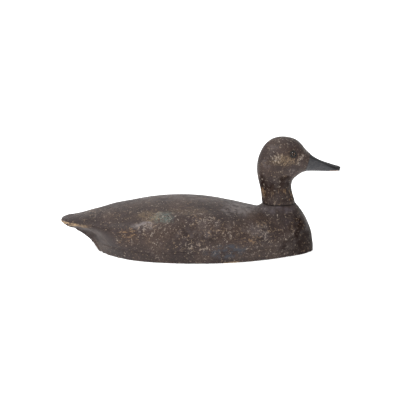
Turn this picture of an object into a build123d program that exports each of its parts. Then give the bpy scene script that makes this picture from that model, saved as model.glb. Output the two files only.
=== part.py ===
"""Hollow wooden duck decoy with a separate head, in millimetres.

+X is forward (the bill), +Y is the duck's left, +Z is up. The origin is the centre of the whole decoy's
box on the plane of its flat bottom. The hull is drawn as a boat is: a few fair lines run from tail to
breast, and the cross-sections read their sizes from them.
"""

import os
from math import asin, cos, radians, sin

from build123d import *

os.makedirs("parts", exist_ok=True)

# ---- Hull, driving dimensions --------------------------------------------------------------------------
tail_end = -216.0
bill_end = 216.0
board_top = 17.5  # thickness of the bottom board
seal_thickness = 0.5
upper_base = board_top + seal_thickness
wall = 19.0  # wood left round the hollow
rim_wall = 13.0  # least wood between the hollow and the edge of the bottom, where the nails go
hollow_aft = -112.0
hollow_fore = 58.0
hollow_taper = 6.0  # how much narrower the hollow is at its mouth than at its widest
hollow_fullness = 0.6
edge_break = 0.7  # small chamfer where two pieces meet in a seam
overlap = 2.0  # how far a shape is drawn past the face where it is cut off
clear = 250.0  # far enough to pass right through the decoy

# ---- Neck joint ----------------------------------------------------------------------------------------
seat_height = 76.0
neck_x = 123.0
seat_length = 51.6
seat_width = 45.0
bolt_radius = 3.175  # quarter-inch hanger bolt
bolt_clearance = 0.35
bolt_in_head = 46.0
bolt_foot = 4.3
nut_recess_radius = 13.0
nut_recess_roof = 13.0
washer_thickness = 1.6
washer_radius = 11.0
nut_thickness = 5.6
nut_flats = 11.1

# ---- Line tie ------------------------------------------------------------------------------------------
tie_x = 82.0
pocket_length = 44.0
pocket_width = 24.0
pocket_roof = 9.0
tie_wire = 1.3  # wire radius of the staple and of the ring
staple_half_span = 5.0
staple_bend = 2.5
staple_crown_z = 2.0
staple_top = 16.5
ring_radius = 8.5  # to the middle of the wire
ring_gap = 0.3
ring_pivot_z = staple_crown_z + 2 * tie_wire + ring_gap
ring_droop = 12.0  # degrees below level, where the ring lies on whatever the decoy stands on

# ---- Ballast -------------------------------------------------------------------------------------------
ballast_x = -20.0
ballast_length = 96.0
ballast_width = 34.0
ballast_corner = 7.0
ballast_roof = 8.0
ballast_sink = 0.4  # the lead lies this far inside the bottom face
screw_pitch = 34.0
screw_head_radius = 4.4
screw_shank_radius = 2.0
screw_cone = 2.4
screw_slot = 1.0
screw_tip_z = 15.5

# ---- Hull fastenings -----------------------------------------------------------------------------------
nail_radius = 1.3
nail_head_radius = 3.2
nail_head_thickness = 1.0
nail_sink = 1.2
nail_top = 36.0
nail_edge = 6.0  # from the edge of the bottom to the middle of a nail
nail_stations = [-138, -112, -70, -14, 44, 94, 134, 155]
dowel_radius = 4.75
dowel_low = 7.0
dowel_high = 34.0
dowel_spots = [(-134, 0), (152, 0)]

# ---- Eyes ----------------------------------------------------------------------------------------------
eye_x = 141.0
eye_z = 156.5
eye_skin = 23.2  # half the head's breadth at the eye
eye_radius = 4.0
eye_dome = 2.7
eye_inset = 2.3  # from the skin down to the back of the glass
enamel_thickness = 0.8
putty_radius = 5.2
socket_cut = 10.0  # from the bottom of a socket outwards, past the cheek
eye_wire_radius = 0.6
eye_wire_length = 12.0

# ---- Fair lines of the hull: (x, value) ----------------------------------------------------------------
# Height of the crest, the line down the middle of the back.
crest_line = [
    (-216, 51.5), (-207, 54.4), (-182, 59.6), (-165, 64.4), (-140, 70.4), (-105, 77.8), (-70, 83.3),
    (-30, 85.7), (5, 84.0), (40, 77.9), (75, 70.0), (100, 65.5), (125, 65.0), (143, 63.5), (154, 59.0),
    (163, 50.5), (169, 40.5), (172.5, 28.0), (175, 12.0),
]
# Half breadth at the belly, the widest line round the hull.
belly_width = [
    (-216, 24.5), (-205, 26.5), (-195, 30.0), (-180, 37.5), (-160, 48.5), (-135, 61.0), (-105, 71.5),
    (-70, 78.8), (-30, 82.2), (10, 82.2), (45, 78.0), (80, 69.5), (110, 58.0), (135, 45.0), (153, 31.5),
    (164, 20.5), (171, 12.5), (175, 5.0),
]
# Height of that belly line.
belly_height = [(-216, 50.0), (-180, 48.5), (-140, 43.5), (-90, 37.5), (-30, 33.0), (60, 30.0), (130, 27.0),
                (160, 22.0), (175, 7.0)]
# Half breadth of the flat bottom.
base_width = [
    (-216, 5.0), (-170, 6.0), (-158, 8.5), (-149, 20.0), (-137, 33.0), (-122, 46.0), (-100, 58.5),
    (-70, 68.5), (-35, 74.0), (0, 76.0), (35, 73.0), (70, 66.0), (100, 55.5), (132, 40.0), (152, 28.0),
    (165, 17.5), (171, 11.0), (175, 4.0),
]
# Fullness of the back: 0.55 is a quarter circle, more is squarer.
fullness = [(-216, 0.50), (-160, 0.50), (-110, 0.56), (-30, 0.60), (60, 0.60), (120, 0.56), (175, 0.55)]
# Hollowness of the flank: 0 bulges like a barrel, 1 flares outwards like the stern of a boat.
flare = [(-216, 1.0), (-165, 0.95), (-140, 0.60), (-115, 0.20), (-90, 0.0), (175, 0.0)]

hull_stations = [
    -216, -200, -184, -169, -157, -148, -138, -124, -103, -75, -42, -8, 26, 56, 82, 104, 122, 137, 149, 158,
    165, 170, 173, 175,
]
hollow_stations = [hollow_aft, -98, -80, -50, -15, 15, 40, hollow_fore]

# Underside of the tail, a hollow cut up behind the flat bottom: (x, z) from the stern to past the tip.
undertail = [(-155, -3), (-162.5, 9), (-172, 23.5), (-186, 36), (-204, 44.8), (-219, 48.6)]
# Outline of the tail seen from above: (x, half breadth) from the tip forwards.
tail_outline = [(tail_end, 0), (-211.5, 13), (-203, 22.5), (-191, 31.5), (-172, 45)]

# ---- Neck seat: height, rear end, front end, half breadth ----------------------------------------------
seat_sections = [
    (40.0, 74.0, 168.0, 48.0),
    (50.0, 77.0, 164.5, 43.0),
    (60.0, 82.5, 158.8, 34.5),
    (68.0, 89.0, 153.3, 27.5),
    (seat_height, neck_x - seat_length / 2, neck_x + seat_length / 2, seat_width / 2),
]

# ---- Head: throat point, crown point, half breadth -----------------------------------------------------
# Each row is one slice. The slices lie level at the seat, fan round the throat and stand upright in the bill.
head_slices = [
    ((147.8, 76.0), (96.2, 76.0), 22.5),
    ((144.2, 85.5), (95.4, 87.0), 20.6),
    ((141.4, 96.0), (93.6, 98.5), 19.4),
    ((140.8, 104.5), (90.8, 110.0), 19.6),
    ((142.2, 111.0), (88.5, 121.5), 21.0),
    ((145.4, 115.9), (87.9, 134.0), 22.6),
    ((149.4, 119.4), (90.2, 148.0), 23.8),
    ((152.8, 121.9), (97.6, 164.0), 24.4),
    ((155.8, 123.8), (111.5, 176.2), 24.2),
    ((158.8, 125.2), (130.5, 179.0), 23.2),
    ((161.6, 125.8), (146.0, 174.0), 21.0),
    ((164.2, 126.0), (157.4, 163.2), 17.8),
    ((168.5, 126.0), (166.4, 153.6), 14.2),
    ((177.0, 126.0), (176.8, 146.0), 11.9),
    ((188.0, 125.8), (188.0, 140.7), 10.9),
    ((199.0, 125.6), (199.0, 137.0), 11.2),
    ((209.0, 126.0), (209.0, 133.8), 11.4),
    ((217.0, 127.0), (217.0, 131.8), 11.0),
]
round_arc = 0.5523  # control length that makes a quarter of an ellipse
bill_round = (15.0, 11.6)  # half axes of the rounded end of the bill seen from above, along it and across
bill_nose = (9.0, 4.7)  # half axes of the same end seen from the side, along it and up
bill_end_z = 129.4


def fair(line, x):
    """Value at x of a smooth line through (x, value) points, with no overshoot between them."""
    spans = list(zip(line[:-1], line[1:]))
    slopes = [(b[1] - a[1]) / (b[0] - a[0]) for a, b in spans]
    tangents = [slopes[0]]
    for before, after in zip(slopes[:-1], slopes[1:]):
        tangents.append(0 if before * after <= 0 else 2 * before * after / (before + after))
    tangents.append(slopes[-1])
    for (a, b), start, end in zip(spans, tangents[:-1], tangents[1:]):
        if x <= b[0]:
            width = b[0] - a[0]
            t = (x - a[0]) / width
            return (
                (2 * t**3 - 3 * t**2 + 1) * a[1]
                + (t**3 - 2 * t**2 + t) * width * start
                + (3 * t**2 - 2 * t**3) * b[1]
                + (t**3 - t**2) * width * end
            )
    return line[-1][1]


def hull_section(x):
    """The closed outline of the hull at x, drawn down to a little below the flat bottom."""
    base, base_z = fair(base_width, x), -overlap
    belly, belly_z = fair(belly_width, x), fair(belly_height, x)
    crest, full, hollow = fair(crest_line, x), fair(fullness, x), fair(flare, x)
    return outline(x, base, base_z, belly, belly_z, crest, full, hollow)


def hollow_section(x):
    """The closed outline of the hollow at x, inside the hull by its wall."""
    belly = min(fair(belly_width, x) - wall, fair(base_width, x) - rim_wall)
    mouth, mouth_z = belly - hollow_taper, upper_base - overlap
    crest = fair(crest_line, x) - wall
    return outline(x, mouth, mouth_z, belly, fair(belly_height, x), crest, hollow_fullness, 0)


def outline(x, base, base_z, belly, belly_z, crest, full, hollow):
    """A section with a straight bottom, flanks that rise to the belly, and a rounded back."""
    flank, back, overhang = belly_z - base_z, crest - belly_z, belly - base
    with BuildSketch(Plane.YZ.offset(x)) as section:
        with BuildLine():
            Line((-base, base_z), (base, base_z))
            for side in (1, -1):
                Bezier(
                    (side * base, base_z),
                    (side * (base + 0.6 * (1 - hollow) * overhang), base_z + 0.35 * flank),
                    (side * (belly - 0.45 * hollow * overhang), belly_z - (0.35 - 0.2 * hollow) * flank),
                    (side * belly, belly_z),
                )
                Bezier(
                    (side * belly, belly_z),
                    (side * belly, belly_z + full * back),
                    (side * belly * full, crest),
                    (0, crest),
                )
        make_face()
    return section.sketch


def head_section(throat, top, half_width):
    """Left half of one slice of the head: half an ellipse, from the throat over the cheek to the top."""
    low, high = Vector(throat[0], 0, throat[1]), Vector(top[0], 0, top[1])
    chord = high - low
    along, across = chord.length / 2, half_width
    with BuildSketch(Plane((low + high) / 2, x_dir=chord, z_dir=chord.cross(Vector(0, 1, 0)))) as section:
        with BuildLine():
            Line((along, 0), (-along, 0))
            Bezier((-along, 0), (-along, round_arc * across), (-along * round_arc, across), (0, across))
            Bezier((0, across), (along * round_arc, across), (along, round_arc * across), (along, 0))
        make_face()
    return section.sketch


def finish(part, label, colour):
    """Labels a finished piece, colours it and writes its STEP file."""
    part.label = label
    part.color = Color(*colour)
    export_step(part, f"parts/{label}.step")


nail_spots = [(x, side * (fair(base_width, x) - nail_edge)) for x in nail_stations for side in (-1, 1)]

PAINTED_WOOD = (0.20, 0.17, 0.15)
BARE_WOOD = (0.72, 0.55, 0.36)
LEAD = (0.42, 0.43, 0.45)
STEEL = (0.50, 0.50, 0.50)
BRASS = (0.65, 0.52, 0.28)
GLASS = (0.25, 0.15, 0.08)
PUTTY = (0.16, 0.14, 0.13)

# ---- Solid blank of the whole hull, before it is parted and hollowed ------------------------------------
with BuildPart() as blank:
    loft([hull_section(station).face() for station in hull_stations])
    with BuildSketch(Plane.XZ):
        with BuildLine():
            cut = Spline(*undertail)
            Polyline(cut @ 1, (undertail[-1][0], undertail[0][1]), cut @ 0)
        make_face()
    extrude(amount=clear, both=True, mode=Mode.SUBTRACT)
    with BuildSketch(Plane.XY):
        with BuildLine():
            edge = Spline(*tail_outline, tangents=[(0, 1), (1, 0.7)])
            Polyline(edge @ 1, (tail_outline[-1][0], clear), (bill_end, clear), (bill_end, 0), edge @ 0)
        make_face()
        mirror(about=Plane.XZ)
    extrude(amount=clear, both=True, mode=Mode.INTERSECT)
    for height, rear, front, half_width in seat_sections:
        with BuildSketch(Plane.XY.offset(height)):
            with Locations(((rear + front) / 2, 0)):
                Ellipse((front - rear) / 2, half_width)
    loft()
    split(bisect_by=Plane.XY, keep=Keep.TOP)

# ---- The hollow, as the solid that the gouge takes out --------------------------------------------------
with BuildPart() as hollow:
    loft([hollow_section(station).face() for station in hollow_stations])

# ---- Upper body -----------------------------------------------------------------------------------------
with BuildPart() as upper_body:
    add(blank.part)
    split(bisect_by=Plane.XY.offset(upper_base), keep=Keep.TOP)
    add(hollow.part, mode=Mode.SUBTRACT)
    seat_face = upper_body.faces().filter_by(Plane.XY).sort_by(Axis.Z)[-1]
    chamfer(seat_face.outer_wire().edges(), edge_break)
    with Locations((neck_x, 0, seat_height)):
        Hole(bolt_radius + bolt_clearance)
    with BuildSketch(Plane.XY.offset(upper_base)):
        with Locations(*dowel_spots):
            Circle(dowel_radius)
    extrude(amount=dowel_high - upper_base, mode=Mode.SUBTRACT)
    with BuildSketch(Plane.XY.offset(upper_base)):
        with Locations(*nail_spots):
            Circle(nail_radius)
    extrude(amount=nail_top - upper_base, mode=Mode.SUBTRACT)
finish(upper_body.part, "upper_body", PAINTED_WOOD)

# ---- Bottom board ---------------------------------------------------------------------------------------
with BuildPart() as bottom_board:
    add(blank.part)
    split(bisect_by=Plane.XY.offset(board_top), keep=Keep.BOTTOM)
    with BuildSketch(Plane.XY):
        with Locations((ballast_x, 0)):
            RectangleRounded(ballast_length, ballast_width, ballast_corner)
    extrude(amount=ballast_roof, mode=Mode.SUBTRACT)
    with BuildSketch(Plane.XY):
        with Locations((tie_x, 0)):
            SlotOverall(pocket_length, pocket_width)
    extrude(amount=pocket_roof, mode=Mode.SUBTRACT)
    with BuildSketch(Plane.XY):
        with Locations((neck_x, 0)):
            Circle(nut_recess_radius)
    extrude(amount=nut_recess_roof, mode=Mode.SUBTRACT)
    with Locations((neck_x, 0, board_top)):
        Hole(bolt_radius + bolt_clearance)
    with BuildSketch(Plane.XY.offset(dowel_low)):
        with Locations(*dowel_spots):
            Circle(dowel_radius)
    extrude(amount=board_top - dowel_low, mode=Mode.SUBTRACT)
    with Locations(*nail_spots):
        Cylinder(nail_radius, board_top, align=(Align.CENTER, Align.CENTER, Align.MIN), mode=Mode.SUBTRACT)
        Cylinder(
            nail_head_radius,
            nail_sink + nail_head_thickness,
            align=(Align.CENTER, Align.CENTER, Align.MIN),
            mode=Mode.SUBTRACT,
        )
    with Locations(*[(ballast_x + n * screw_pitch, 0, ballast_roof) for n in (-1, 0, 1)]):
        Cylinder(
            screw_shank_radius,
            screw_tip_z - ballast_roof,
            align=(Align.CENTER, Align.CENTER, Align.MIN),
            mode=Mode.SUBTRACT,
        )
    with Locations(*[(tie_x + n * staple_half_span, 0, pocket_roof) for n in (-1, 1)]):
        Cylinder(
            tie_wire,
            staple_top - pocket_roof,
            align=(Align.CENTER, Align.CENTER, Align.MIN),
            mode=Mode.SUBTRACT,
        )
finish(bottom_board.part, "bottom_board", PAINTED_WOOD)

# ---- Hull seal, the bedding compound between the two halves ---------------------------------------------
with BuildPart() as hull_seal:
    add(blank.part)
    split(bisect_by=Plane.XY.offset(board_top), keep=Keep.TOP)
    split(bisect_by=Plane.XY.offset(upper_base), keep=Keep.BOTTOM)
    add(hollow.part, mode=Mode.SUBTRACT)
    with Locations((neck_x, 0, upper_base)):
        Hole(bolt_radius + bolt_clearance)
    with Locations(*[(x, y, upper_base) for x, y in dowel_spots]):
        Hole(dowel_radius)
    with Locations(*[(x, y, upper_base) for x, y in nail_spots]):
        Hole(nail_radius)
finish(hull_seal.part, "hull_seal", PUTTY)

# ---- Locating dowels and hull nails ---------------------------------------------------------------------
with BuildPart() as locating_dowels:
    with BuildSketch(Plane.XY.offset(dowel_low)):
        with Locations(*dowel_spots):
            Circle(dowel_radius)
    extrude(amount=dowel_high - dowel_low)
finish(locating_dowels.part, "locating_dowels", BARE_WOOD)

with BuildPart() as hull_nails:
    with BuildSketch(Plane.XY.offset(nail_sink)):
        with Locations(*nail_spots):
            Circle(nail_head_radius)
    extrude(amount=nail_head_thickness)
    with BuildSketch(Plane.XY.offset(nail_sink)):
        with Locations(*nail_spots):
            Circle(nail_radius)
    extrude(amount=nail_top - nail_sink)
finish(hull_nails.part, "hull_nails", STEEL)

# ---- Ballast and its screws -----------------------------------------------------------------------------
with BuildPart() as ballast_weight:
    with BuildSketch(Plane.XY.offset(ballast_sink)):
        with Locations((ballast_x, 0)):
            RectangleRounded(ballast_length, ballast_width, ballast_corner)
    extrude(amount=ballast_roof - ballast_sink)
    with Locations(*[(ballast_x + n * screw_pitch, 0, ballast_sink) for n in (-1, 0, 1)]):
        Cylinder(
            screw_shank_radius,
            ballast_roof,
            align=(Align.CENTER, Align.CENTER, Align.MIN),
            mode=Mode.SUBTRACT,
        )
        Cone(
            screw_head_radius,
            screw_shank_radius,
            screw_cone,
            align=(Align.CENTER, Align.CENTER, Align.MIN),
            mode=Mode.SUBTRACT,
        )
finish(ballast_weight.part, "ballast_weight", LEAD)

with BuildPart() as ballast_screws:
    with Locations(*[(ballast_x + n * screw_pitch, 0, ballast_sink) for n in (-1, 0, 1)]):
        Cone(
            screw_head_radius,
            screw_shank_radius,
            screw_cone,
            align=(Align.CENTER, Align.CENTER, Align.MIN),
        )
        Cylinder(
            screw_shank_radius,
            screw_tip_z - ballast_sink,
            align=(Align.CENTER, Align.CENTER, Align.MIN),
        )
        Box(
            2 * screw_head_radius,
            screw_slot,
            screw_slot,
            align=(Align.CENTER, Align.CENTER, Align.MIN),
            mode=Mode.SUBTRACT,
        )
finish(ballast_screws.part, "ballast_screws", BRASS)

# ---- Line tie: staple and ring --------------------------------------------------------------------------
with BuildPart() as line_tie_staple:
    with BuildLine(Plane.XZ.offset(0)) as bent_wire:
        FilletPolyline(
            (tie_x - staple_half_span, staple_top),
            (tie_x - staple_half_span, staple_crown_z),
            (tie_x + staple_half_span, staple_crown_z),
            (tie_x + staple_half_span, staple_top),
            radius=staple_bend,
        )
    with BuildSketch(Plane(origin=bent_wire.line @ 0, z_dir=bent_wire.line % 0)):
        Circle(tie_wire)
    sweep()
finish(line_tie_staple.part, "line_tie_staple", STEEL)

ring_tilt = radians(ring_droop)
ring_centre = (tie_x - ring_radius * cos(ring_tilt), 0, ring_pivot_z - ring_radius * sin(ring_tilt))
ring_along = (cos(ring_tilt), 0, sin(ring_tilt))
ring_plane = Plane(origin=ring_centre, x_dir=ring_along, z_dir=(-sin(ring_tilt), 0, cos(ring_tilt)))
with BuildPart(ring_plane) as line_tie_ring:
    Torus(ring_radius, tie_wire)
finish(line_tie_ring.part, "line_tie_ring", BRASS)

# ---- Head, neck and bill, with the bolt hole and the eye sockets ----------------------------------------
eye_floor = eye_skin - eye_inset - enamel_thickness  # distance of the bottom of a socket from the middle
left_eye_plane = Plane(origin=(eye_x, eye_floor, eye_z), x_dir=(1, 0, 0), z_dir=(0, 1, 0))
right_eye_plane = Plane(origin=(eye_x, -eye_floor, eye_z), x_dir=(1, 0, 0), z_dir=(0, -1, 0))
eye_planes = [left_eye_plane, right_eye_plane]

with BuildPart() as head_blank:
    loft([head_section(*row).face() for row in head_slices])
    mirror(about=Plane.XZ)
    with BuildSketch():
        with Locations((bill_end - bill_round[0], 0)):
            Ellipse(*bill_round)
            Rectangle(clear, clear, align=(Align.MAX, Align.CENTER))
    extrude(amount=clear, mode=Mode.INTERSECT)
    with BuildSketch(Plane.XZ):
        with Locations((bill_end - bill_nose[0], bill_end_z)):
            Ellipse(*bill_nose)
            Rectangle(clear, clear, align=(Align.MAX, Align.CENTER))
    extrude(amount=clear, both=True, mode=Mode.INTERSECT)

with BuildPart() as head:
    add(head_blank.part)
    with BuildSketch(Plane.XY.offset(seat_height)):
        with Locations((neck_x, 0)):
            Circle(bolt_radius)
    extrude(amount=bolt_in_head, mode=Mode.SUBTRACT)
    for plane in eye_planes:
        with BuildSketch(plane):
            Circle(putty_radius)
        extrude(amount=socket_cut, mode=Mode.SUBTRACT)
        with BuildSketch(plane):
            Circle(eye_wire_radius)
        extrude(amount=-eye_wire_length, mode=Mode.SUBTRACT)
    seam_face = head.faces().filter_by(Plane.XY).sort_by(Axis.Z)[0]
    chamfer(seam_face.outer_wire().edges(), edge_break)
finish(head.part, "head", PAINTED_WOOD)

# ---- Eyes: glass over a painted back, on a wire, bedded in putty ----------------------------------------
for side_name, plane in zip(("left", "right"), eye_planes):
    with BuildPart() as eye_putty:
        add(head_blank.part)
        with BuildSketch(plane):
            Circle(putty_radius)
            Circle(eye_radius, mode=Mode.SUBTRACT)
        extrude(amount=socket_cut, mode=Mode.INTERSECT)
    finish(eye_putty.part, f"{side_name}_eye_putty", PUTTY)

    with BuildPart() as eye_enamel:
        with BuildSketch(plane):
            Circle(eye_radius)
        extrude(amount=enamel_thickness)
    finish(eye_enamel.part, f"{side_name}_eye_enamel", GLASS)

    rim_height = enamel_thickness + eye_inset - eye_dome / 2
    dome_radius = (eye_radius**2 + eye_dome**2) / (2 * eye_dome)
    half_way = asin(eye_radius / dome_radius) / 2
    dome_centre = rim_height + eye_dome - dome_radius
    with BuildPart() as eye_glass:
        with BuildSketch(Plane(plane.origin, x_dir=(1, 0, 0), z_dir=Vector(1, 0, 0).cross(plane.z_dir))):
            with BuildLine():
                bottom = Line((0, enamel_thickness), (eye_radius, enamel_thickness))
                edge = Line(bottom @ 1, (eye_radius, rim_height))
                dome_middle = (dome_radius * sin(half_way), dome_centre + dome_radius * cos(half_way))
                dome = ThreePointArc(edge @ 1, dome_middle, (0, rim_height + eye_dome))
                Line(dome @ 1, bottom @ 0)
            make_face()
        revolve(axis=Axis(plane.origin, plane.z_dir))
    finish(eye_glass.part, f"{side_name}_eye_glass", GLASS)

    with BuildPart() as eye_wire:
        with BuildSketch(plane):
            Circle(eye_wire_radius)
        extrude(amount=-eye_wire_length)
    finish(eye_wire.part, f"{side_name}_eye_wire", STEEL)

# ---- Neck bolt, washer and nut --------------------------------------------------------------------------
washer_bottom = nut_recess_roof - washer_thickness
nut_bottom = washer_bottom - nut_thickness
with BuildPart() as neck_bolt:
    with BuildSketch(Plane.XY.offset(bolt_foot)):
        with Locations((neck_x, 0)):
            Circle(bolt_radius)
    extrude(amount=seat_height + bolt_in_head - bolt_foot)
    chamfer(neck_bolt.edges().sort_by(Axis.Z)[0], edge_break)
finish(neck_bolt.part, "neck_bolt", STEEL)

with BuildPart() as neck_washer:
    with BuildSketch(Plane.XY.offset(washer_bottom)):
        with Locations((neck_x, 0)):
            Circle(washer_radius)
            Circle(bolt_radius + bolt_clearance, mode=Mode.SUBTRACT)
    extrude(amount=washer_thickness)
finish(neck_washer.part, "neck_washer", STEEL)

with BuildPart() as neck_nut:
    with BuildSketch(Plane.XY.offset(nut_bottom)):
        with Locations((neck_x, 0)):
            RegularPolygon(nut_flats / 2, 6, major_radius=False)
            Circle(bolt_radius, mode=Mode.SUBTRACT)
    extrude(amount=nut_thickness)
finish(neck_nut.part, "neck_nut", STEEL)
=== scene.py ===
"""Looks of the hollow wooden duck decoy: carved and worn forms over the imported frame, procedural materials,
a pale floor, soft studio light and the camera.

Everything is in metres, in the frame of the CAD model: X points from the tail to the bill, -Y is the decoy's
right side, and Z is up from the flat bottom.
"""

import math

import bpy
import numpy as np
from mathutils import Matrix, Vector, noise


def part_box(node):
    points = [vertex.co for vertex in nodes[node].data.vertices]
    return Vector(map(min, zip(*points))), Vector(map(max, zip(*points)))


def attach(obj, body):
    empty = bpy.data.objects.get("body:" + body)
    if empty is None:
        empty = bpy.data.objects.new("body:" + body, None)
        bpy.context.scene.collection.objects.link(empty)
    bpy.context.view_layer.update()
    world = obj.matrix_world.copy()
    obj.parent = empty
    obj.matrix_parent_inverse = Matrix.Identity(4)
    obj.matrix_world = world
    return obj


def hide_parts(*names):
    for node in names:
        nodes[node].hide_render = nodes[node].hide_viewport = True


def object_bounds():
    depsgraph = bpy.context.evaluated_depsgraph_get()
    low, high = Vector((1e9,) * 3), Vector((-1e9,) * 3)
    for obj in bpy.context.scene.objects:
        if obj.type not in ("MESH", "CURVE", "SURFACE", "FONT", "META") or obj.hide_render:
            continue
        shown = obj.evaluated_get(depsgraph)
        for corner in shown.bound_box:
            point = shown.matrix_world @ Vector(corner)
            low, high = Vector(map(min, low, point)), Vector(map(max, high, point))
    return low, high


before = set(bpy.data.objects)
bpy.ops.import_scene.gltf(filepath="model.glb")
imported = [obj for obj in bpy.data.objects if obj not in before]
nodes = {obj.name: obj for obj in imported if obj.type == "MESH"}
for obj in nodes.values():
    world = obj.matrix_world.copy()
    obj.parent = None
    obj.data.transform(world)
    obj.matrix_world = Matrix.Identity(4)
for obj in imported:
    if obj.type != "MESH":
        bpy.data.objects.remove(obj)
cad_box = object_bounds()
MM = 0.001


def mm(x, y, z):
    """A place or size in millimetres, in the frame's metres."""
    return (x * MM, y * MM, z * MM)


# ---- Places read from the frame --------------------------------------------------------------------------
def middle_of(node):
    low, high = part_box(node)
    return (low + high) / 2


BODY_LOW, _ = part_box("upper_body")
BOARD_LOW, BOARD_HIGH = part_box("bottom_board")
HEAD_LOW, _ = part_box("head")
SEAT_Z = HEAD_LOW.z
NECK_X = middle_of("neck_bolt").x
TAIL_X = BODY_LOW.x


# ==========================================================================================================
# Materials
# ==========================================================================================================
class Shader:
    """One node material on a Principled shader, with a short call for each kind of node it needs."""

    def __init__(self, name, **values):
        self.material = bpy.data.materials.new(name)
        self.material.use_nodes = True
        self.tree = self.material.node_tree
        self.bsdf = self.tree.nodes["Principled BSDF"]
        self.place = self.node("ShaderNodeTexCoord").outputs["Object"]
        for socket, value in values.items():
            self.bsdf.inputs[socket.replace("_", " ")].default_value = value

    def node(self, kind, inputs=(), **settings):
        made = self.tree.nodes.new(kind)
        for key, value in settings.items():
            setattr(made, key, value)
        for key, value in dict(inputs).items():
            self.put(made.inputs[key], value)
        return made

    def put(self, socket, value):
        if isinstance(value, bpy.types.NodeSocket):
            self.tree.links.new(value, socket)
        elif socket.type == "RGBA" and len(value) == 3:
            socket.default_value = (*value, 1)
        else:
            socket.default_value = value

    def set(self, **sockets):
        """Sets or links sockets of the Principled shader, named with _ for a space."""
        for key, value in sockets.items():
            self.put(self.bsdf.inputs[key.replace("_", " ")], value)
        return self

    def painted_so_far(self):
        return self.bsdf.inputs["Base Color"].links[0].from_socket

    def math(self, operation, a, b=0.0, c=0.0):
        return self.node("ShaderNodeMath", {0: a, 1: b, 2: c}, operation=operation).outputs[0]

    def noise(self, scale, detail, at=None, roughness=0.5):
        inputs = {"Vector": at or self.place, "Scale": scale, "Detail": detail, "Roughness": roughness}
        return self.node("ShaderNodeTexNoise", inputs).outputs["Fac"]

    def cells(self, scale, feature="F1", at=None, output="Distance"):
        inputs = {"Vector": at or self.place, "Scale": scale, "Randomness": 1.0}
        return self.node("ShaderNodeTexVoronoi", inputs, feature=feature).outputs[output]

    def span(self, value, low, high, start=0.0, end=1.0):
        """value taken from low..high to start..end, with soft ends and no overshoot."""
        inputs = {0: value, 1: low, 2: high, 3: start, 4: end}
        return self.node("ShaderNodeMapRange", inputs, interpolation_type="SMOOTHSTEP").outputs[0]

    def mix(self, factor, a, b, blend="MIX"):
        made = self.node("ShaderNodeMix", {0: factor, 6: a, 7: b}, data_type="RGBA", blend_type=blend)
        return made.outputs[2]

    def all_of(self, *masks):
        product = masks[0]
        for mask in masks[1:]:
            product = self.math("MULTIPLY", product, mask)
        return product

    def any_of(self, *masks):
        most = masks[0]
        for mask in masks[1:]:
            most = self.math("MAXIMUM", most, mask)
        return most

    def vector(self, operation, *inputs, output="Vector"):
        return self.node("ShaderNodeVectorMath", dict(enumerate(inputs)), operation=operation).outputs[output]

    def stretched(self, x, y, z):
        return self.vector("MULTIPLY", self.place, (x, y, z))

    def warped(self, scale, amount):
        """The place, pushed about by a noise, so that cells and lines lose their straight edges."""
        inputs = {"Vector": self.place, "Scale": scale, "Detail": 2.0}
        push = self.node("ShaderNodeTexNoise", inputs).outputs["Color"]
        centred = self.vector("SUBTRACT", push, (0.5, 0.5, 0.5))
        return self.vector("MULTIPLY_ADD", centred, (amount,) * 3, self.place)

    def axis(self, name):
        return self.node("ShaderNodeSeparateXYZ", {0: self.place}).outputs[name]

    def patch(self, centre, half_size, ragged=0.5):
        """1 in the middle of a blot about centre, falling to 0 at its ragged edge, about half_size away."""
        edge_scale, core = 60, 0.5
        shift = self.vector("SUBTRACT", self.place, centre)
        scaled = self.vector("MULTIPLY", shift, tuple(1 / size for size in half_size))
        reach = self.vector("LENGTH", scaled, output="Value")
        outwards = self.math("ADD", reach, ragged)
        frayed = self.math("MULTIPLY_ADD", self.noise(edge_scale, 3), -2 * ragged, outwards)
        return self.span(frayed, core, 1.0, 1.0, 0.0)

    def near(self, places):
        """1 in any of the places, which are (centre, half size) pairs, with very ragged edges."""
        return self.any_of(*[self.patch(centre, size, ragged=0.9) for centre, size in places], 0.0)

    def bump(self, height, depth, strength, under=None):
        inputs = {"Strength": strength, "Distance": depth, "Height": height}
        if under is not None:
            inputs["Normal"] = under
        return self.node("ShaderNodeBump", inputs).outputs[0]


# Paints, what shows through them, and painted highlights and painted shade, as linear colours.
INK_BROWN = (0.024, 0.0155, 0.014)
# Painted shade: a near black brown that darkens the breast, the neck, under the tail and the crown.
SHADE_BROWN = (0.014, 0.0075, 0.006)
PLUM_GREY = (0.042, 0.030, 0.031)
WARM_BROWN = (0.046, 0.030, 0.024)
RUBBED_TAN = (0.25, 0.175, 0.115)
PALE_FLAKE = (0.36, 0.30, 0.25)
RUST_GRAIN = (0.21, 0.115, 0.055)
SLATE = (0.040, 0.040, 0.044)
RUBBED_SLATE = (0.052, 0.050, 0.053)
SLATE_SPECK = (0.13, 0.125, 0.12)
# Painted shade under the bill.
UNDER_BILL_SHADE = (0.035, 0.018, 0.014)
WORN_NAIL = (0.30, 0.24, 0.20)
RIDGE_BLACK = (0.004, 0.004, 0.005)
BLUE_GREY = (0.040, 0.044, 0.056)
OLD_TEAL = (0.13, 0.17, 0.15)
OCHRE = (0.22, 0.155, 0.085)
BARE_WOOD = (0.42, 0.29, 0.16)
# A near black for the dark line at the neck seam.
SEAM_DARK = (0.010, 0.008, 0.008)
# Painted highlights: lighter colour put where light catches the back, flank, cheek and crown.
PAINTED_HIGHLIGHT = (0.095, 0.076, 0.073)
PALE_PAINTED_HIGHLIGHT = (0.165, 0.140, 0.135)
# Painted highlight: the side of the neck seat, where it catches the light.
SEAT_HIGHLIGHT_PLUM = (0.066, 0.052, 0.056)
IRIS_BROWN = (0.20, 0.095, 0.040)
IRIS_DARK = (0.085, 0.036, 0.016)
PUPIL_BLACK = (0.004, 0.004, 0.004)


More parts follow.
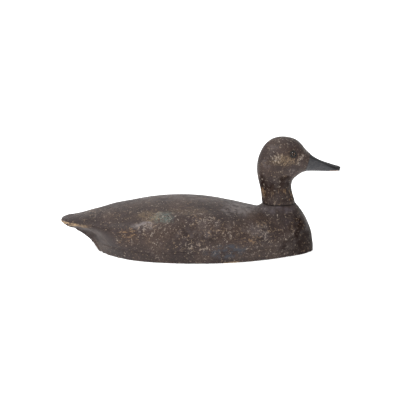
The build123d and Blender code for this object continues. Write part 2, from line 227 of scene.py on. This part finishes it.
def base_coat(s, middle, fine):
    """Old brown paint, mottled broadly, greyed here and there, and finely clouded."""
    colour = s.mix(s.span(s.noise(22, 3), 0.38, 0.64), INK_BROWN, WARM_BROWN)
    colour = s.mix(s.span(middle, 0.45, 0.75, 0, 0.55), colour, PLUM_GREY)
    value = s.span(fine, 0.25, 0.75, 0.55, 1.6)
    shade = s.node("ShaderNodeCombineXYZ", {0: value, 1: value, 2: value}).outputs[0]
    return s.mix(1.0, colour, shade, "MULTIPLY")


def add_blots(s, colour, blots):
    """Blots of other paint, painted highlights and painted shade, broken up where they have worn off again,
    and a mask of the painted shade.
    """
    shade_mask = 0.0
    for paint, strength, centre, half_size, scale in blots:
        left_on = s.span(s.noise(scale, 4, roughness=0.65), 0.40, 0.60)
        blot = s.all_of(s.patch(centre, half_size), left_on, strength)
        colour = s.mix(blot, colour, paint)
        # The painted shade, which also gets less gloss.
        if paint == SHADE_BROWN:
            shade_mask = s.any_of(blot, shade_mask)
    return colour, shade_mask


def rub_grain(s, colour, streaks, near_grain, gain, rough):
    """Wood grain rubbed through in short streaks, rusty and denser in the grainy places."""
    mask = s.all_of(s.span(s.math("MULTIPLY_ADD", near_grain, gain, streaks), 0.65, 0.73), rough)
    rusty = s.mix(s.noise(60, 1), RUBBED_TAN, RUST_GRAIN)
    return s.mix(s.math("MULTIPLY", mask, 0.75), colour, s.mix(near_grain, RUBBED_TAN, rusty)), mask


def craze(s, colour, near_craze, gain, rough):
    """Thin pale lines round little plates of paint, mostly in the crazed places."""
    plates = s.cells(330, "DISTANCE_TO_EDGE", at=s.warped(160, 0.006))
    big_plates = s.cells(125, "DISTANCE_TO_EDGE", at=s.warped(70, 0.014))
    lines = s.any_of(s.span(plates, 0.03, 0.10, 1, 0), s.span(big_plates, 0.012, 0.04, 1, 0))
    patchy = s.math("MULTIPLY_ADD", near_craze, gain, s.noise(260, 4, roughness=0.6))
    mask = s.all_of(lines, s.span(patchy, 0.555, 0.67), rough)
    pale = s.mix(s.span(s.noise(48, 2), 0.4, 0.6), RUBBED_TAN, PALE_FLAKE)
    return s.mix(s.math("MULTIPLY", mask, 0.75), colour, pale), mask


def flake(s, colour, near_craze, along, showing, rough):
    """Specks, dashes and dust where the paint has come away, the specks stretched by along."""
    speck_at = s.vector("MULTIPLY", s.warped(300, 0.003), along)
    size = s.span(s.noise(34, 3), 0.42, 0.62, 0.10, 0.26)
    specks = s.span(s.cells(430, at=speck_at), size, s.math("MULTIPLY", size, 0.55), 0, 1)
    luck = s.math("MULTIPLY_ADD", near_craze, 0.10, s.cells(430, at=speck_at, output="Color"))
    crowding = s.span(s.noise(26, 2), 0.36, 0.66, -0.16, 0.10)
    chosen = s.span(s.math("ADD", luck, crowding), 0.65, 0.73)
    dashes = s.span(s.noise(1.0, 2, at=s.stretched(130, 600, 600)), 0.72, 0.75)
    dust = s.all_of(s.span(s.noise(1150, 2), 0.66, 0.72), s.span(s.noise(70, 3), 0.40, 0.60, 0.15, 0.8))
    mask = s.all_of(s.any_of(s.all_of(specks, chosen), dashes, dust), rough)
    pale = s.mix(s.noise(260, 1), RUBBED_TAN, PALE_FLAKE)
    return s.mix(s.math("MULTIPLY", mask, showing), colour, pale), mask


def chip(s, colour, rough):
    """A few larger chips, down to the priming."""
    chip_at = s.warped(240, 0.006)
    size = s.span(s.noise(400, 2), 0.35, 0.65, 0.05, 0.16)
    spots = s.span(s.cells(72, at=chip_at), size, s.math("MULTIPLY", size, 0.6), 0, 1)
    mask = s.all_of(spots, s.span(s.cells(72, at=chip_at, output="Color"), 0.60, 0.66), rough)
    return s.mix(s.math("MULTIPLY", mask, 0.65), colour, PALE_FLAKE), mask


def strip_to_wood(s, colour, bare_mask, middle):
    """Bare wood with a fine grain where bare_mask says, with some paint left on."""
    wood = s.mix(s.span(s.noise(1.0, 3, at=s.stretched(60, 900, 900)), 0.35, 0.6), BARE_WOOD, RUBBED_TAN)
    return s.mix(s.all_of(bare_mask, s.span(middle, 0.36, 0.52, 1.0, 0.5)), colour, wood)


def worn_paint(name, blots, crazed, grainy=(), bare=None, calm=None, grain=(30, 460, 460), craze_gain=0.075,
               grain_gain=0.13, flaking=0.80):
    """Old flat paint on carved wood: mottled, crazed, flaked, chipped and rubbed through along the grain.

    blots are (paint, strength, centre, half size, scale) patches of other paint, of painted highlight or of
    painted shade. crazed and grainy are (centre, half size) places with more craze lines or more rubbed
    grain.
    bare gives a mask of bare wood, and calm one of smooth paint without flakes. grain is how fine the wood
    grain is along X, Y and Z. craze_gain and grain_gain say how dense lines and streaks get in their places,
    and flaking how far the flakes show.
    """
    s = Shader(name, IOR=1.45)
    middle, fine = s.noise(95, 4), s.noise(620, 4, roughness=0.62)
    streaks = s.noise(1.0, 5, at=s.stretched(*grain), roughness=0.7)
    rough = s.math("SUBTRACT", 1.0, calm(s)) if calm else 1.0
    near_craze = s.near(crazed)
    speck_stretch = tuple(0.55 if scale == min(grain) else 1.0 for scale in grain)

    colour, shade_mask = add_blots(s, base_coat(s, middle, fine), blots)
    colour, streak_mask = rub_grain(s, colour, streaks, s.near(grainy), grain_gain, rough)
    colour, craze_mask = craze(s, colour, near_craze, craze_gain, rough)
    colour, flake_mask = flake(s, colour, near_craze, speck_stretch, flaking, rough)
    colour, chip_mask = chip(s, colour, rough)
    worn = s.any_of(streak_mask, craze_mask, flake_mask, chip_mask)
    if bare:
        bare_mask = bare(s)
        colour = strip_to_wood(s, colour, bare_mask, middle)
        worn = s.any_of(worn, bare_mask)

    relief = s.math("MULTIPLY_ADD", worn, -0.8, s.math("MULTIPLY", fine, 0.5))
    worn_relief = s.bump(relief, 0.35 * MM, 0.55)
    s.set(
        Base_Color=colour,
        Roughness=s.math("MULTIPLY_ADD", worn, 0.22, s.span(middle, 0.3, 0.7, 0.40, 0.56)),
        # Less gloss where the painted shade lies.
        Specular_IOR_Level=s.span(shade_mask, 0, 1, 0.22, 0.03),
        Normal=s.bump(streaks, 0.25 * MM, 0.35, under=worn_relief),
    )
    return s


def band(s, axis, low, high, soft):
    """1 between low and high along one axis, with soft ends."""
    along = s.axis(axis)
    return s.all_of(s.span(along, low - soft, low), s.span(along, high, high + soft, 1, 0))


def tail_bare(s):
    """Bare wood along the lower rim of the tail, with some paint left on."""
    return s.all_of(
        s.span(s.axis("X"), TAIL_X + 24 * MM, TAIL_X + 52 * MM, 1, 0),
        band(s, "Z", 46 * MM, 49.6 * MM, 1.3 * MM),
        s.span(s.noise(1.0, 3, at=s.stretched(70, 200, 260)), 0.40, 0.50),
    )


def board_bare(s):
    """Chips on the lower edge of the bottom board, most of them in one knocked stretch on each side."""
    knocked = s.any_of(
        s.patch(mm(52, -72, 0), mm(26, 9, 4), ragged=0.3),
        s.patch(mm(-30, 74, 0), mm(22, 9, 4), ragged=0.3),
    )
    low_edge = s.span(s.axis("Z"), 0.8 * MM, 3.0 * MM, 1, 0)
    facing = s.node("ShaderNodeTexCoord").outputs["Normal"]
    off_the_flat = s.span(s.node("ShaderNodeSeparateXYZ", {0: facing}).outputs["Z"], -0.9, -0.6)
    chips = s.span(s.math("MULTIPLY_ADD", knocked, 0.16, s.noise(170, 3)), 0.64, 0.68)
    return s.all_of(low_edge, off_the_flat, chips)


def seat_and_stern_calm(s):
    """Smooth paint on the neck seat and under the tail."""
    seat = s.patch((NECK_X, 0, SEAT_Z - 4 * MM), mm(34, 60, 9), ragged=0.25)
    stern = s.all_of(s.span(s.axis("X"), -126 * MM, -132 * MM), s.span(s.axis("Z"), 46 * MM, 42 * MM))
    return s.math("MULTIPLY", s.any_of(seat, stern), 0.85)


def bill_mask(s):
    """1 on the bill: forward of a line that slants from the forehead down to the chin, a little ragged."""
    slant = s.math("MULTIPLY_ADD", s.axis("Z"), -0.28, s.axis("X"))
    ragged = s.math("MULTIPLY_ADD", s.noise(130, 3), 3 * MM, slant)
    return s.span(ragged, 125.4 * MM, 127.6 * MM)


def paint_bill(s):
    """The bill in worn slate, black along the ridge, with painted shade under its edge and a pale worn nail.
    """
    slate = s.mix(s.span(s.noise(150, 4), 0.35, 0.65), SLATE, RUBBED_SLATE)
    slate = s.mix(s.all_of(s.span(s.noise(900, 3), 0.58, 0.66), 0.4), slate, SLATE_SPECK)
    height = s.math("MULTIPLY_ADD", s.axis("X"), 0.46, s.axis("Z"))
    ridge = s.any_of(s.span(height, 224.2 * MM, 226.8 * MM), s.span(s.axis("X"), 198 * MM, 211 * MM, 0, 0.7))
    slate = s.mix(s.math("MULTIPLY", ridge, 0.92), slate, RIDGE_BLACK)
    # Painted shade on the underside of the bill.
    under = s.span(s.axis("Z"), 127.6 * MM, 126.2 * MM)
    slate = s.mix(s.math("MULTIPLY", under, 0.7), slate, UNDER_BILL_SHADE)
    nail = s.all_of(s.patch(mm(205, -9, 128), mm(9, 5, 2.4), ragged=0.3), s.span(s.noise(420, 3), 0.42, 0.55))
    slate = s.mix(nail, slate, WORN_NAIL)
    s.set(Base_Color=s.mix(bill_mask(s), s.painted_so_far(), slate))


def darken_neck_seam(s, height, half, strength):
    """Darkens a thin level line round the neck, at the seam between the head and its seat."""
    neck = s.span(s.axis("X"), NECK_X - 42 * MM, NECK_X - 34 * MM)
    line = s.all_of(band(s, "Z", height - half, height + half, 0.9 * MM), neck, strength)
    s.set(Base_Color=s.mix(line, s.painted_so_far(), SEAM_DARK))


def plain(name, colour, second, scale, rough, metallic, depth):
    """Two colours mottled at a scale, with a range of roughness and a bump depth mm deep to match."""
    s = Shader(name, Metallic=metallic)
    mottle = s.noise(scale, 4, roughness=0.6)
    mask = s.span(mottle, 0.40, 0.62)
    s.set(
        Base_Color=s.mix(mask, colour, second),
        Roughness=s.span(mottle, 0.3, 0.7, *rough),
        Normal=s.bump(mottle, depth * MM, 0.6),
    )
    return s


def iris_paint():
    """The painted back of a glass eye: a black pupil in a brown iris, with a black rim."""
    s = Shader("eye_enamel_paint", Roughness=0.3)
    low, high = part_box("right_eye_enamel")
    centre = middle_of("right_eye_enamel")
    shift = s.vector("SUBTRACT", s.place, (centre.x, 0, centre.z))
    radius = s.vector("LENGTH", s.vector("MULTIPLY", shift, (1, 0, 1)), output="Value")
    edge = (high.x - low.x) / 2
    iris = s.mix(s.span(s.noise(1800, 3), 0.35, 0.65), IRIS_BROWN, IRIS_DARK)
    pupil = s.span(radius, 0.30 * edge, 0.36 * edge, 1, 0)
    rim = s.span(radius, 0.50 * edge, 0.60 * edge)
    s.set(Base_Color=s.mix(s.any_of(pupil, rim), iris, PUPIL_BLACK))
    return s


# ==========================================================================================================
# Carved forms
# ==========================================================================================================
def carved_copy(node, name, voxel, passes, seam_z=None):
    """A fine, even mesh of a CAD node with its sharp edges eased, ready to be carved. It replaces the node.

    The edges within a few millimetres of the height seam_z stay crisp, so that the seam closes tightly.
    """
    piece = bpy.data.objects.new(name, nodes[node].data.copy())
    bpy.context.scene.collection.objects.link(piece)
    remesh = piece.modifiers.new("even", "REMESH")
    remesh.mode, remesh.voxel_size = "VOXEL", voxel
    bake(piece)
    weight = np.ones(len(piece.data.vertices))
    if seam_z is not None:
        weight = ramp(np.abs(points_of(piece)[:, 2] - seam_z), 1.2 * MM, 4 * MM)
    soften(piece, weight, passes)
    piece.data.name = name
    piece.data.polygons.foreach_set("use_smooth", [True] * len(piece.data.polygons))
    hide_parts(node)
    return piece


def bake(piece):
    """Turns the piece's modifiers into its mesh."""
    evaluated = piece.evaluated_get(bpy.context.evaluated_depsgraph_get())
    shaped = bpy.data.meshes.new_from_object(evaluated)
    piece.modifiers.clear()
    piece.data = shaped


def points_of(piece):
    points = np.empty(len(piece.data.vertices) * 3)
    piece.data.vertices.foreach_get("co", points)
    return points.reshape(-1, 3)


def normals_of(piece):
    normals = np.empty(len(piece.data.vertices) * 3)
    piece.data.vertex_normals.foreach_get("vector", normals)
    return normals.reshape(-1, 3)


def ramp(values, low, high):
    """0 below low, 1 above high, smooth between, for numpy arrays."""
    t = np.clip((values - low) / (high - low), 0, 1)
    return t * t * (3 - 2 * t)


def fall(values, low, high):
    """1 below low, 0 above high, smooth between, for numpy arrays."""
    return ramp(-values, -high, -low)


def rough_field(points, size, seed):
    """A smooth random field from -1 to 1 with features of about the given size."""
    shift = Vector((seed * 1.7, seed * 2.9, seed * 0.61))
    return np.array([noise.noise(Vector(p) / size + shift) for p in points])


def ding_field(points, spots, seed, radius, depth):
    """Small knocks: spots random dents of about this radius and depth, each stretched along the decoy."""
    rng = np.random.default_rng(seed)
    sunk = np.zeros(len(points))
    for index in rng.integers(0, len(points), spots):
        long, across = radius * rng.uniform(0.8, 2.6), radius * rng.uniform(0.5, 1.0)
        away = (points - points[index]) / (long, across, across)
        reach = np.sqrt((away**2).sum(1))
        sunk = np.maximum(sunk, depth * rng.uniform(0.4, 1.0) * fall(reach, 0.2, 1))
    return sunk


def press_in(piece, depth):
    """Moves each point inwards along its normal by depth, and keeps it inside the decoy's box."""
    points = points_of(piece)
    low, high = (np.array(corner) for corner in cad_box)
    moved = np.clip(points - normals_of(piece) * depth[:, None], low, high)
    piece.data.vertices.foreach_set("co", moved.ravel())
    piece.data.update()


def soften(piece, weight, passes):
    """Relaxes the surface where weight is above 0, to blend one carved form into the next."""
    piece.vertex_groups.clear()
    group = piece.vertex_groups.new(name="soften")
    for level in np.unique(np.round(weight, 1)):
        if level > 0:
            group.add(np.nonzero(np.round(weight, 1) == level)[0].tolist(), float(level), "REPLACE")
    modifier = piece.modifiers.new("soften", "SMOOTH")
    modifier.factor, modifier.iterations, modifier.vertex_group = 0.5, passes, group.name
    bake(piece)


def breast_swell(points):
    """How far the carved breast stands out past the CAD form, the same on both halves of the hull."""
    return 1.3 * MM * ramp(points[:, 0], 130 * MM, 165 * MM)


def carve_body():
    """The upper body: blended at the shoulder and stern, then made uneven, knocked and filled out."""
    piece = carved_copy("upper_body", "upper_body_carved", voxel=1.5 * MM, passes=4, seam_z=BODY_LOW.z)
    x, _, z = points_of(piece).T
    shoulder = ramp(x, 50 * MM, 84 * MM) * ramp(z, 26 * MM, 44 * MM) * fall(z, 71 * MM, 74 * MM)
    under_tail = ramp(x, -178 * MM, -160 * MM) * fall(x, -128 * MM, -112 * MM)
    under_tail *= ramp(z, 24 * MM, 30 * MM) * fall(z, 54 * MM, 62 * MM)
    soften(piece, np.maximum(shoulder, under_tail), passes=160)

    points, facing = points_of(piece), normals_of(piece)[:, 2]
    x, _, z = points.T
    below_seat = fall(z, SEAT_Z - 7 * MM, SEAT_Z - 2 * MM)
    clear = ramp(z, BODY_LOW.z + 1 * MM, BODY_LOW.z + 8 * MM) * below_seat
    long_waves, short_waves = rough_field(points, 34 * MM, seed=3), rough_field(points, 13 * MM, seed=5)
    uneven = 0.22 * MM * long_waves + 0.10 * MM * short_waves
    dents = ding_field(points, spots=150, seed=11, radius=2.6 * MM, depth=0.45 * MM)
    crest = ramp(x, -96 * MM, -60 * MM) * fall(x, -20 * MM, 20 * MM)
    tail = fall(x, -160 * MM, -128 * MM)
    swell = 0.35 * MM + ramp(facing, 0.3, 0.8) * MM * (0.5 + 1.2 * crest - 1.1 * tail)
    lip = 0.8 * MM * fall(x, -204 * MM, -180 * MM) * fall(facing, -0.5, 0)
    press_in(piece, (uneven + dents - swell) * clear - breast_swell(points) * below_seat - lip)
    return piece


def carve_board():
    """The bottom board: a slightly uneven side that meets the upper body, and chips on its lower edge."""
    piece = carved_copy("bottom_board", "bottom_board_carved", voxel=1.1 * MM, passes=2, seam_z=BOARD_HIGH.z)
    points, facing = points_of(piece), np.abs(normals_of(piece)[:, 2])
    z = points[:, 2]
    wall = fall(facing, 0.7, 0.9)
    side = wall * fall(z, BOARD_HIGH.z - 6 * MM, BOARD_HIGH.z - 1 * MM)
    rim = fall(z, 0.6 * MM, 2.5 * MM) * fall(facing, 0.9, 0.995)
    chipped = ramp(rough_field(points, 9 * MM, seed=8), 0.18, 0.40)
    uneven = 0.15 * MM * rough_field(points, 22 * MM, seed=4)
    press_in(piece, (uneven - 0.25 * MM) * side - breast_swell(points) * wall + 0.9 * MM * rim * chipped)
    return piece


def carve_head():
    """The head: uneven and knocked except round the eyes, with a step at the bill and a mouth line."""
    piece = carved_copy("head", "head_carved", voxel=0.9 * MM, passes=3, seam_z=SEAT_Z)
    points = points_of(piece)
    x, _, z = points.T
    eye, mouth_z = middle_of("right_eye_putty"), 128.4 * MM
    from_eye = np.hypot(x - eye.x, z - eye.z)
    clear = ramp(z, SEAT_Z + 1 * MM, SEAT_Z + 7 * MM) * ramp(from_eye, 6 * MM, 10 * MM)
    long_waves, short_waves = rough_field(points, 26 * MM, seed=6), rough_field(points, 9 * MM, seed=7)
    uneven = 0.15 * MM * long_waves + 0.08 * MM * short_waves
    dents = ding_field(points, spots=40, seed=12, radius=2.0 * MM, depth=0.3 * MM)
    bill = ramp(x, 160 * MM, 170 * MM)
    mouth = 0.45 * MM * ramp(x, 163 * MM, 168 * MM) * fall(np.abs(z - mouth_z), 0.1 * MM, 0.9 * MM)
    bill_step = 0.35 * MM * ramp(x - 0.28 * z, 126 * MM, 128 * MM)
    brow = 0.9 * MM * ramp(x, 132 * MM, 150 * MM) * ramp(normals_of(piece)[:, 2], 0.1, 0.6)
    carved = (uneven + dents - 0.45 * MM - brow) * clear
    press_in(piece, carved * (1 - 0.65 * bill) - 0.9 * bill * brow + mouth + bill_step)
    return piece


def squeeze_out_seal():
    """The bedding compound, squeezed out a little along the hull's joint, so that paint covers the joint."""
    piece = bpy.data.objects.new("hull_seal_bead", nodes["hull_seal"].data.copy())
    bpy.context.scene.collection.objects.link(piece)
    points, spread, proud = points_of(piece), 0.9 * MM, 0.25 * MM
    points[:, 2] += np.where(points[:, 2] > middle_of("hull_seal").z, spread, -spread)
    outwards = points[:, :2] / np.linalg.norm(points[:, :2], axis=1)[:, None]
    points[:, :2] += (proud + breast_swell(points)[:, None]) * outwards
    piece.data.vertices.foreach_set("co", points.ravel())
    piece.data.update()
    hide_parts("hull_seal")
    return piece


def carve_ballast():
    """The ballast: poured lead, shrunk and pitted on the face that shows."""
    piece = carved_copy("ballast_weight", "ballast_poured", voxel=0.8 * MM, passes=2)
    points = points_of(piece)
    face = fall(points[:, 2], 0.8 * MM, 2.2 * MM)
    shrunk = 0.35 * MM * (1 + rough_field(points, 7 * MM, seed=9)) / 2
    pits = ding_field(points, spots=40, seed=13, radius=1.6 * MM, depth=0.3 * MM)
    press_in(piece, (shrunk + pits) * face)
    return piece


# ==========================================================================================================
# The decoy
# ==========================================================================================================
# Blots are (paint, strength, centre, half size, scale of wear); the other lists are (centre, half size).
# The highlight blots and the seat plum are painted highlights; the shade brown blots are painted shade.
BODY_BLOTS = [
    (OLD_TEAL, 0.60, mm(-55, -58, 66), mm(22, 20, 11), 420),
    (OCHRE, 0.40, mm(-72, -56, 68), mm(26, 18, 9), 460),
    (OCHRE, 0.16, mm(-20, -50, 73), mm(50, 16, 7), 380),
    (BLUE_GREY, 0.80, mm(38, -76, 19), mm(42, 16, 14), 110),
    (WARM_BROWN, 0.80, mm(101, -36, 58), mm(14, 14, 9), 380),
    (RUST_GRAIN, 0.08, mm(-106, -60, 34), mm(26, 26, 16), 420),
    # Painted highlights on the flank and the top of the back.
    (PALE_PAINTED_HIGHLIGHT, 0.90, mm(-83, -70, 57), mm(24, 20, 7), 130),
    (PAINTED_HIGHLIGHT, 0.55, mm(-2, -76, 47), mm(46, 20, 9), 90),
    (PAINTED_HIGHLIGHT, 0.60, mm(86, -62, 44), mm(32, 24, 17), 90),
    (PAINTED_HIGHLIGHT, 0.50, mm(-10, 0, 84), mm(120, 26, 9), 60),
    (PAINTED_HIGHLIGHT, 0.35, mm(20, -76, 60), mm(60, 24, 10), 70),
    (PALE_PAINTED_HIGHLIGHT, 0.60, mm(60, -20, 71), mm(36, 44, 12), 110),
    # Painted shade on the breast and under the tail.
    (SHADE_BROWN, 0.95, mm(158, 0, 30), mm(42, 70, 50), 30),
    (SHADE_BROWN, 0.80, mm(166, 0, 24), mm(36, 74, 44), 8),
    (SHADE_BROWN, 0.70, mm(146, -30, 14), mm(46, 50, 22), 55),
    (SHADE_BROWN, 0.60, mm(-168, 0, 32), mm(44, 60, 17), 30),
    # Painted highlight on the side of the neck seat.
    (SEAT_HIGHLIGHT_PLUM, 0.85, mm(120, -20, 70), mm(30, 34, 7), 60),
    (OLD_TEAL, 0.40, mm(-36, 60, 66), mm(22, 18, 9), 420),
    (RUST_GRAIN, 0.10, mm(-84, 66, 30), mm(30, 26, 14), 420),
    (BLUE_GREY, 0.60, mm(60, 70, 18), mm(34, 16, 12), 110),
    (PLUM_GREY, 0.80, mm(-205, 0, 56), mm(22, 26, 8), 180),
]
BODY_CRAZE = [
    (mm(-58, -58, 67), mm(22, 18, 10)),
    (mm(5, -64, 66), mm(34, 16, 9)),
    (mm(30, -72, 48), mm(50, 18, 14)),
    (mm(92, -58, 44), mm(44, 26, 22)),
    (mm(-12, -78, 30), mm(34, 14, 18)),
    (mm(10, 66, 60), mm(60, 20, 16)),
    (mm(-170, 0, 62), mm(30, 34, 8)),
    (mm(-60, -72, 52), mm(40, 14, 12)),
]
BODY_GRAIN = [
    (mm(-106, -60, 42), mm(26, 24, 20)),
    (mm(-98, 62, 40), mm(30, 24, 18)),
    (mm(-172, -36, 49), mm(24, 12, 4)),
    (mm(70, -66, 34), mm(26, 16, 8)),
]
HEAD_BLOTS = [
    # Painted shade on the neck and the crown.
    (SHADE_BROWN, 0.95, mm(122, 0, 104), mm(50, 44, 32), 20),
    (SHADE_BROWN, 0.80, mm(122, 0, 104), mm(50, 44, 30), 60),
    (SHADE_BROWN, 0.45, mm(120, 0, 172), mm(50, 40, 14), 30),
    (OCHRE, 0.34, mm(123, -22, 146.5), mm(27, 12, 12), 460),
    (OCHRE, 0.26, mm(124, 22, 146), mm(26, 12, 12), 460),
    # Painted highlights on the cheek, temple and crown.
    (PAINTED_HIGHLIGHT, 0.80, mm(136, -21, 129), mm(11, 10, 7), 120),
    (PAINTED_HIGHLIGHT, 0.55, mm(101, -18, 142), mm(9, 14, 12), 160),
    (PAINTED_HIGHLIGHT, 0.50, mm(120, -12, 166), mm(22, 12, 6), 160),
    (WARM_BROWN, 0.80, mm(114, -20, 96), mm(26, 14, 16), 420),
    (WARM_BROWN, 0.70, mm(114, 20, 98), mm(26, 14, 18), 420),
]
HEAD_CRAZE = [
    (mm(121, -22, 147), mm(28, 12, 12)),
    (mm(122, 22, 146), mm(28, 12, 14)),
    (mm(115, 0, 91), mm(32, 28, 13)),
    (mm(152, -18, 150), mm(10, 10, 10)),
]
HEAD_GRAIN = [(mm(118, 0, 92), mm(36, 34, 17))]


def dress():
    """Builds the carved pieces, gives every shown node and piece its material, and attaches each carved piece
    to its body.
    """
    body_paint = worn_paint("old_body_paint", BODY_BLOTS, BODY_CRAZE, BODY_GRAIN, bare=tail_bare,
                            calm=seat_and_stern_calm)
    darken_neck_seam(body_paint, SEAT_Z, half=0.3 * MM, strength=0.6)
    board_paint = worn_paint("old_bottom_paint", BODY_BLOTS, BODY_CRAZE[:3], bare=board_bare)
    head_paint = worn_paint("old_head_paint", HEAD_BLOTS, HEAD_CRAZE, HEAD_GRAIN, grain=(460, 460, 45),
                            craze_gain=0.13, grain_gain=0.155, flaking=0.45)
    paint_bill(head_paint)
    darken_neck_seam(head_paint, SEAT_Z, half=0.5 * MM, strength=0.75)
    lead = plain("oxidised_lead", (0.16, 0.165, 0.175), (0.27, 0.275, 0.28),
                 scale=180, rough=(0.45, 0.7), metallic=0.6, depth=0.3)
    carved = (
        (carve_body(), "hull", "body_paint", body_paint),
        (carve_board(), "hull", "bottom_paint", board_paint),
        (carve_head(), "head", "head_paint", head_paint),
        (carve_ballast(), "hull", "lead", lead),
        (squeeze_out_seal(), "hull", "bedding", board_paint),
    )
    for piece, body, slot, paint in carved:
        piece.data.materials.clear()
        piece.data.materials.append(paint.material)
        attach(piece, body)

    iron = plain("rusty_iron", (0.11, 0.045, 0.022), (0.055, 0.040, 0.034),
                 scale=520, rough=(0.55, 0.85), metallic=0.55, depth=0.15)
    steel = plain("dull_zinc_steel", (0.34, 0.33, 0.31), (0.20, 0.17, 0.14),
                  scale=380, rough=(0.32, 0.6), metallic=0.9, depth=0.08)
    brass = plain("tarnished_brass", (0.33, 0.22, 0.085), (0.15, 0.10, 0.045),
                  scale=420, rough=(0.30, 0.58), metallic=0.95, depth=0.06)
    putty = plain("painted_putty", (0.007, 0.005, 0.004), (0.014, 0.010, 0.008),
                  scale=700, rough=(0.45, 0.7), metallic=0.0, depth=0.15)
    dowel = plain("dowel_wood", BARE_WOOD, (0.36, 0.25, 0.13),
                  scale=260, rough=(0.5, 0.7), metallic=0.0, depth=0.15)
    glass = Shader("eye_glass_clear", Roughness=0.05, IOR=1.45, Base_Color=(0.98, 0.93, 0.88, 1), Alpha=0.55,
                   Transmission_Weight=1.0)
    iris = iris_paint()
    # The CAD nodes that keep their own mesh.
    finishes = {
        "hull_nails": iron, "line_tie_staple": iron, "ballast_screws": brass, "line_tie_ring": brass,
        "neck_bolt": steel, "neck_nut": steel, "neck_washer": steel,
        "locating_dowels": dowel,
    }
    for side in ("left", "right"):
        finishes.update({
            f"{side}_eye_putty": putty, f"{side}_eye_enamel": iris, f"{side}_eye_glass": glass,
            f"{side}_eye_wire": iron,
        })
    for node, finish in finishes.items():
        nodes[node].data.materials.clear()
        nodes[node].data.materials.append(finish.material)


# ==========================================================================================================
# Floor, light and camera
# ==========================================================================================================
FLOOR_WIDTH = 60.0
LIT_POINT = (0, 0, 0.06)
DIM_DIRECTION = (0.80, -0.60, 0.0)


def make_stage():
    """A pale floor under the flat bottom, wide enough to reach the horizon of low views."""
    bpy.ops.mesh.primitive_plane_add(size=FLOOR_WIDTH, location=(0, 0, BOARD_LOW.z))
    floor = bpy.context.object
    floor.name = "floor"
    s = Shader("pale_floor", Roughness=0.9, Emission_Color=(1, 1, 1, 1), Emission_Strength=0.6)
    s.set(Base_Color=s.mix(s.noise(3, 2), (0.93, 0.93, 0.93), (0.96, 0.96, 0.96)))
    floor.data.materials.append(s.material)


def add_softbox(name, place, size, power):
    light = bpy.data.lights.new(name, "AREA")
    light.shape, light.size, light.size_y = "RECTANGLE", size[0], size[1]
    light.energy = power
    lamp = bpy.data.objects.new(name, light)
    bpy.context.scene.collection.objects.link(lamp)
    lamp.location = place
    lamp.rotation_euler = (Vector(LIT_POINT) - Vector(place)).to_track_quat("-Z", "Y").to_euler()


def make_light():
    """A white room, dimmer ahead and to the right of the decoy, and two softboxes above it."""
    world = bpy.data.worlds.new("white_room")
    bpy.context.scene.world = world
    world.use_nodes = True
    tree = world.node_tree
    towards = tree.nodes.new("ShaderNodeVectorMath")
    towards.operation = "DOT_PRODUCT"
    towards.inputs[1].default_value = DIM_DIRECTION
    tree.links.new(tree.nodes.new("ShaderNodeTexCoord").outputs["Generated"], towards.inputs[0])
    dim_side = tree.nodes.new("ShaderNodeMapRange")
    for name, value in {"From Min": 0.15, "From Max": 0.85, "To Min": 1.0, "To Max": 0.35}.items():
        dim_side.inputs[name].default_value = value
    tree.links.new(towards.outputs["Value"], dim_side.inputs["Value"])
    tree.links.new(dim_side.outputs["Result"], tree.nodes["Background"].inputs["Strength"])
    tree.nodes["Background"].inputs["Color"].default_value = (1, 1, 1, 1)
    add_softbox("key_softbox", place=(-0.80, -0.70, 1.15), size=(0.8, 0.6), power=14)
    add_softbox("top_softbox", place=(-0.1, 0.35, 1.5), size=(1.2, 0.9), power=5)


def make_camera():
    """The photograph's view: square on the decoy's right side, from a little above."""
    target = Vector(mm(0, 0, 79.9))
    distance, elevation = 1.5, math.radians(13.5)
    sensor, view_width = 36.0, 0.620
    camera = bpy.data.objects.new("camera", bpy.data.cameras.new("camera"))
    bpy.context.scene.collection.objects.link(camera)
    camera.location = target + distance * Vector((0, -math.cos(elevation), math.sin(elevation)))
    camera.rotation_euler = (math.pi / 2 - elevation, 0, 0)
    camera.data.sensor_width = sensor
    camera.data.lens = sensor * distance / view_width
    bpy.context.scene.camera = camera
    bpy.context.scene.view_settings.view_transform = "Standard"


make_stage()
make_light()
make_camera()
dress()
